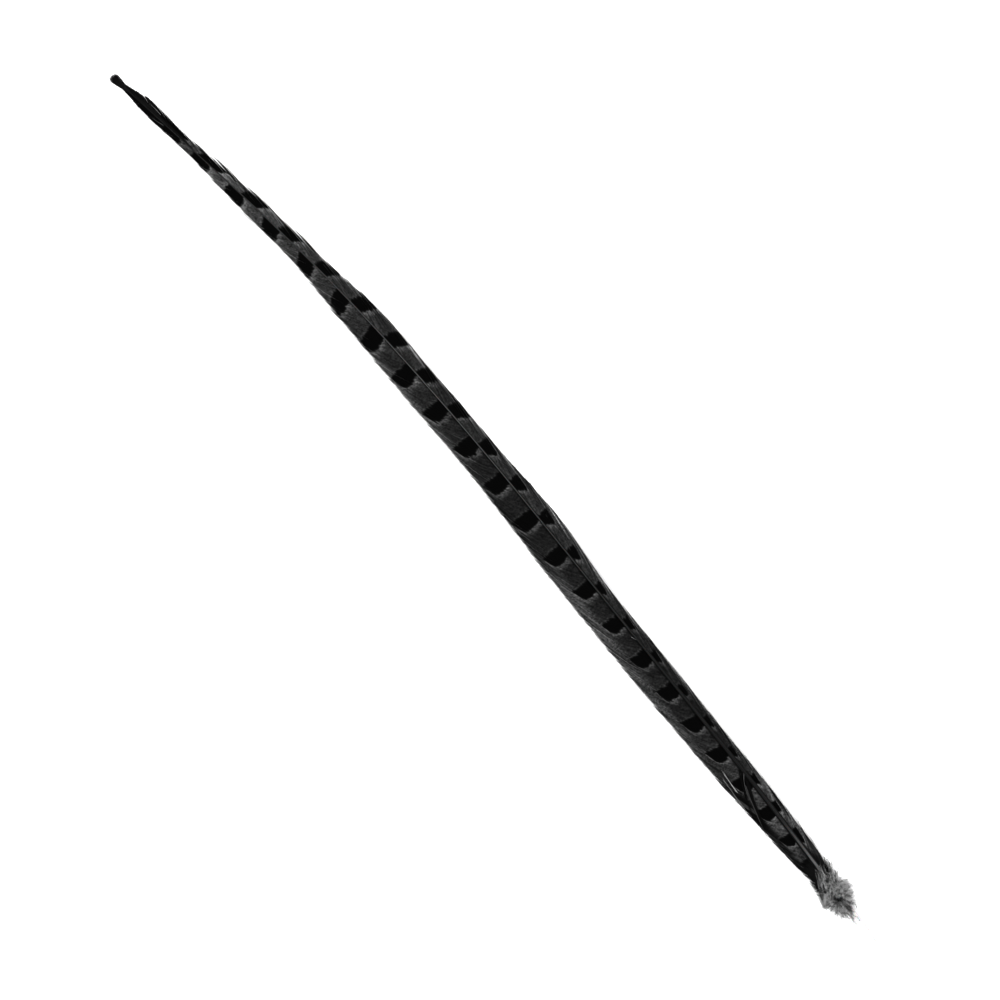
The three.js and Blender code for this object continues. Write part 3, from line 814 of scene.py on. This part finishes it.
def down_wisps():
    """Wisps of down. They spring from the shaft's back and sides around its foot: some lean forward over the
    vanes, some stand out to the sides, and some are folded back over the quill."""
    wisps = [  # root and tip, each a station and a distance right of the shaft, then barbs and tone
        (31, -1.0, 44.7, 5.8, 12, 0.3), (32, 0.4, 43.5, 3.9, 14, 0.35), (41, 3.4, 48.8, 6.3, 5, 0.1),
        (29.4, -8.8, 42.5, -2.8, 15, 0.38), (29.8, -7.4, 44.5, -1.2, 15, 0.46),
        (30.4, -5.6, 46.0, 0.4, 15, 0.42), (31, -3.6, 47.5, 2.2, 13, 0.36),
        (28.8, -8.4, 38.0, -4.4, 14, 0.45), (28.8, -6.2, 41.0, -0.4, 14, 0.5),
        (28.5, -4.0, 39.0, 1.6, 12, 0.4), (36, 1.0, 46.5, 5.9, 8, 0.25), (38, -0.6, 48.5, 0.9, 10, 0.2),
        (29, -2.0, 33.0, -9.0, 12, 0.5), (28.6, -2.0, 29.4, -9.9, 18, 0.6),
        (33, 1.2, 36.0, 6.4, 12, 0.9), (32, 1.3, 33.4, 8.0, 26, 1.2), (31, 1.3, 30.6, 8.0, 24, 1.2),
        (29, 1.2, 27.6, 6.8, 20, 1.0), (28, 1.0, 24.6, 6.0, 16, 0.7), (27, 0.6, 22.0, 4.2, 16, 0.45),
        (28, -0.2, 19.4, 1.6, 16, 0.37), (28, 0.2, 14.5, 1.7, 8, 0.1), (28, -1.2, 17.0, -0.8, 16, 0.35),
        (28, -1.4, 14.8, -1.4, 12, 0.35), (28, -1.6, 17.6, -3.2, 16, 0.37),
        (28, -1.9, 20.2, -5.4, 18, 0.4), (28, -2.0, 23.4, -7.6, 18, 0.45),
        (29, -2.0, 26.8, -8.6, 16, 0.45), (27.5, -0.4, 29.5, -0.2, 6, 0.05),
    ]
    for _ in range(34):  # short ones that close the middle
        root, begin = 30 + chance.normal(0, 2.4), chance.normal(-0.4, 1.2)
        bearing, long = chance.uniform(0, 2 * math.pi), chance.uniform(3, 5.5)
        wisps.append((root, begin, root + long * math.cos(bearing), begin + long * math.sin(bearing), 1, 0.3))
    return wisps


def downy_spine(root, begin, tip, end):
    """One downy barb of a wisp: it bows to a side, passes over the shaft, and curls more towards its tip."""
    full = chance.uniform(0.45, 1.05)
    bent = chance.normal(0, 1.3)
    away = math.hypot(tip - root, end - begin)
    aside = np.array([-(end - begin), tip - root]) / away
    at = []
    for along in (0, 0.55 * full, full):
        bow = bent * math.sin(math.pi * min(along, 1) * 0.8)
        station = root + (tip - root) * along + aside[0] * bow + chance.normal(0, DOWN_SCATTER)
        right = begin + (end - begin) * along + aside[1] * bow + chance.normal(0, DOWN_SCATTER)
        nearness = math.exp(-((right / 3.2) ** 2))
        over_shaft = float(shaft_height(station) + shaft_radius(station)) * nearness
        high = over_shaft + 0.25 + chance.uniform(0, 1.5) * (0.3 + along)
        at.append(placed(station, right, high).reshape(1, 3))
    spine = curved(*at, DOWN_STEPS)[0]
    turns = np.linspace(0, 1, DOWN_STEPS)[:, None]
    for waves, push in enumerate(chance.normal(0, 0.42, (3, 3)), 1):
        spine = spine + push * np.sin(np.pi * waves * turns) * turns
    spine[:, 2] = np.clip(spine[:, 2], DOWN_LOW, DOWN_HIGH)
    return spine


def down_threads():
    """The spines of all downy barbs and the tones along them."""
    spines, tones = [], []
    for *ends, barbs, tone in down_wisps():
        for _ in range(barbs):
            spine = downy_spine(*ends)
            spines.append(spine)
            # barbs crowd where they spring from the horn, and painted shade darkens them there; each also has
            # its own tone
            out = np.linalg.norm((spine - DOWN_FOOT)[:, :2], axis=1) / FOOT_SHADE_REACH
            shade = DOWN_SHADE * tone * math.exp(chance.normal(0, 0.5))
            tones.append(shade * np.clip(out, 0.12, 1))
    return np.array(spines), np.clip(tones, 0, 1)


def make_down_tuft():
    """The tuft: threads through the node tree, kept as the mesh that it makes."""
    spines, tones = down_threads()
    count, steps = spines.shape[:2]
    mesh = bpy.data.meshes.new("down_threads")
    joints = np.arange(count * steps).reshape(count, steps)
    edges = np.stack([joints[:, :-1], joints[:, 1:]], -1).reshape(-1, 2)
    mesh.from_pydata(in_metres(spines.reshape(-1, 3)), edges.tolist(), [])
    store(mesh, "tone", tones.reshape(-1))
    threads = in_scene("down_threads", mesh)
    grower = threads.modifiers.new("grow", "NODES")
    grower.node_group = grow_down_tree()
    sockets = {s.name: s.identifier for s in grower.node_group.interface.items_tree if s.in_out == "INPUT"}
    grower[sockets["Seed"]] = 11
    grower[sockets["Finish"]] = DOWN
    grown = threads.evaluated_get(bpy.context.evaluated_depsgraph_get())
    made = bpy.data.meshes.new_from_object(grown)
    made.materials.clear()
    made.materials.append(DOWN)
    bpy.data.objects.remove(threads)
    return in_scene("down_tuft", made)


# ---- the table, the light and the camera ----

LAMP_DISTANCE = 1.9  # metres from the middle of the feather
CAMERA_HEIGHT = 2.5
SHAFT_LEVEL = 0.003  # about the height of the feather's middle above the table
VIEW_WIDTH = 0.474  # metres that the view takes in at that height
SENSOR = 36  # millimetres

def make_setting():
    """A pale paper sheet, a bright room, and big soft lamps low at the sides."""
    finish, _, shader = new_finish("white_paper")
    shader.inputs["Base Color"].default_value = linear("F4F4F4")
    shader.inputs["Roughness"].default_value = 0.9
    shader.inputs["Specular IOR Level"].default_value = 0.1
    half = 1600
    corners = [(-half, -half, TABLE), (half, -half, TABLE), (half, half, TABLE), (-half, half, TABLE)]
    sheet = mesh_piece("paper_sheet", np.array(corners) + MIDDLE, [[0, 1, 2, 3]], finish)

    world = bpy.data.worlds.new("soft_room")
    bpy.context.scene.world = world
    world.use_nodes = True
    world.node_tree.nodes["Background"].inputs["Color"].default_value = (1, 1, 1, 1)
    world.node_tree.nodes["Background"].inputs["Strength"].default_value = 0.58
    lamps = [  # name, bearing and tilt in degrees, size in metres, power
        ("window", 150, 48, 1.4, 30.0), ("far_wall", -30, 42, 1.6, 20.0), ("near_wall", 60, 40, 1.6, 14.5),
        ("side_wall", 240, 40, 1.6, 14.5),
    ]
    for name, bearing, tilt, size, power in lamps:
        lamp = bpy.data.lights.new(name, "AREA")
        lamp.size = size
        lamp.energy = power
        holder = in_scene(name, lamp)
        bearing, tilt = math.radians(bearing), math.radians(tilt)
        flat = math.cos(tilt) * LAMP_DISTANCE
        up = math.sin(tilt) * LAMP_DISTANCE
        place = Vector((flat * math.cos(bearing), flat * math.sin(bearing), up))
        holder.location = place
        holder.rotation_euler = (-place).to_track_quat("-Z", "Y").to_euler()


def make_camera():
    """Straight above the feather, which lies with its tip towards the view's upper left corner."""
    lean = math.radians(41.367)  # from the view's upright to the line from quill to tip, to the left
    across = Vector((math.cos(lean), -math.sin(lean), 0))
    upright = Vector((math.sin(lean), math.cos(lean), 0))
    lens = bpy.data.cameras.new("overhead")
    lens.sensor_width = SENSOR
    lens.lens = SENSOR * (CAMERA_HEIGHT - SHAFT_LEVEL) / VIEW_WIDTH
    lens.clip_end = 20
    camera = in_scene("overhead", lens)
    turn = Matrix((across, upright, Vector((0, 0, 1)))).transposed().to_4x4()
    turn.translation = (-0.00258, 0.00218, CAMERA_HEIGHT)
    camera.matrix_world = turn
    bpy.context.scene.camera = camera
    # contrasty, with the paper just white and the feather's darks kept deep
    looks = bpy.context.scene.view_settings
    looks.view_transform = "Standard"
    looks.look = "None"
    looks.exposure = 0.0
    looks.gamma = 0.6


make_camera()
make_setting()
belongs(make_shaft())
belongs(make_vane("broad_vane", BROAD, 0.45, 13, [], BROAD_BAR, closes_again=True))
torn = [(513, 0.3), (482, 0.2), (461, 0.2), (430, 0.2)]
belongs(make_vane("narrow_vane", NARROW, 0.7, 15, torn, NARROW_BAR, closes_again=False))
belongs(make_loose_locks())
belongs(make_tip_brush())
belongs(make_strays())
belongs(make_down_tuft())
